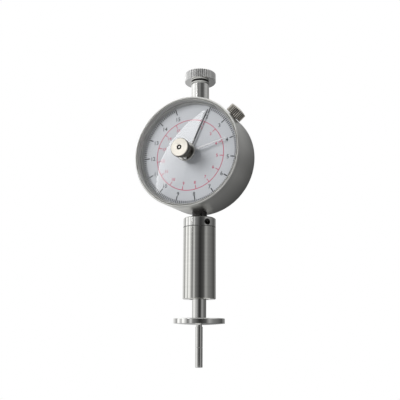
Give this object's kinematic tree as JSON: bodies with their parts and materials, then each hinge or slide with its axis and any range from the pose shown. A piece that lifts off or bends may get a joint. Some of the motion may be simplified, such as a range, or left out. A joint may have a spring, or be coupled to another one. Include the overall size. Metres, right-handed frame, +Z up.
{
  "type": "fruit hardness tester",
  "caption": "Hand-held dial penetrometer: round dial case, knurled cap, spring barrel, splash disc and a flat pin that is pressed into fruit to read its firmness.",
  "frame": {"origin": "where the plunger's axis passes the centre of the round case", "axes": "+Z up along the plunger, away from the indenter; the dial faces -Y; +X is to the right of the dial"},
  "size_m": [0.0542, 0.0364, 0.146],
  "materials": {
    "case_satin": "satin turned steel",
    "cover_plate": "satin plate",
    "polished": "polished",
    "barrel_steel": "brushed along its length",
    "cap_nickel": "satin with straight knurl",
    "clamp_dark": "dark nickel with straight knurl",
    "stem_black": "blackened",
    "seal_black": "moulded",
    "reset_nickel": "warm nickel",
    "dial_print": "matt enamel",
    "lens_clear": "clear",
    "pointer_black": "matt black",
    "pointer_silver": "bright",
    "movement_brass": "turned",
    "movement_steel": "ground",
    "spring_steel": "drawn wire"
  },
  "bodies": {
    "case": {"case": "case_satin", "back_cover": "cover_plate", "back_screw_1": "movement_steel", "back_screw_2": "movement_steel", "back_screw_3": "movement_steel", "back_screw_4": "movement_steel", "neck_bush": "polished", "neck_washer": "polished", "cap_seal": "seal_black", "top_cap": "cap_nickel", "stem_bush": "stem_black", "barrel_collar": "polished", "collar_set_screw": "stem_black", "barrel": "barrel_steel", "guide_bush": "movement_brass", "movement_bridge": "movement_brass", "bridge_pillar_1": "movement_brass", "bridge_pillar_2": "movement_brass", "bridge_screw_1": "movement_steel", "bridge_screw_2": "movement_steel", "arbor_bush": "movement_brass", "clamp_bush": "movement_steel", "main_spring": "spring_steel"},
    "bezel": {"bezel_ring": "case_satin", "lens": "lens_clear", "lens_ring": "polished", "lens_bush": "movement_steel", "dial": "dial_print", "dial_retainer": "movement_brass"},
    "driving_hand": {"pinion_arbor": "movement_steel", "driving_pointer": "pointer_black"},
    "follower_hand": {"reset_knob": "reset_nickel", "reset_shaft": "polished", "reset_grub_screw": "movement_steel", "follower_pointer": "pointer_silver"},
    "plunger": {"plunger_rod": "polished", "rack": "movement_steel", "rack_screw_1": "movement_steel", "rack_screw_2": "movement_steel", "spring_seat": "movement_brass", "splash_disc": "polished", "indenter": "polished"},
    "clamp_shoe": {"clamp_shoe": "movement_brass"},
    "clamp_screw": {"clamp_screw": "clamp_dark"}
  },
  "joints": [
    {"name": "plunger_slide", "type": "slide", "parent": "case", "child": "plunger", "axis": [0, 0, 1], "range_m": [0, 0.00825], "stiffness_N_per_m": 1490, "springref_m": -0.00127, "deforming": ["main_spring"]},
    {"name": "pointer_turn", "type": "hinge", "parent": "case", "child": "driving_hand", "pos_m": [0, 0, 0], "axis": [0, 1, 0], "range_deg": [0, 315.2]},
    {"name": "dial_turn", "type": "hinge", "parent": "case", "child": "bezel", "pos_m": [0, 0, 0], "axis": [0, 1, 0], "continuous": true},
    {"name": "follower_turn", "type": "hinge", "parent": "bezel", "child": "follower_hand", "pos_m": [0, 0, 0], "axis": [0, 1, 0], "range_deg": [-48.5, 266.5]},
    {"name": "clamp_travel", "type": "slide", "parent": "case", "child": "clamp_shoe", "axis": [0.757, 0, 0.6534], "range_m": [0, 0.0003]},
    {"name": "clamp_turn", "type": "hinge", "parent": "clamp_shoe", "child": "clamp_screw", "pos_m": [0.02195, -0.008, 0.01895], "axis": [0.757, 0, 0.6534], "range_deg": [0, 216.5]}
  ],
  "couplings": [
    {"joint": "pointer_turn", "follows": "plunger_slide", "rad_per_m": 666.67},
    {"joint": "clamp_turn", "follows": "clamp_travel", "rad_per_m": 12566}
  ]
}
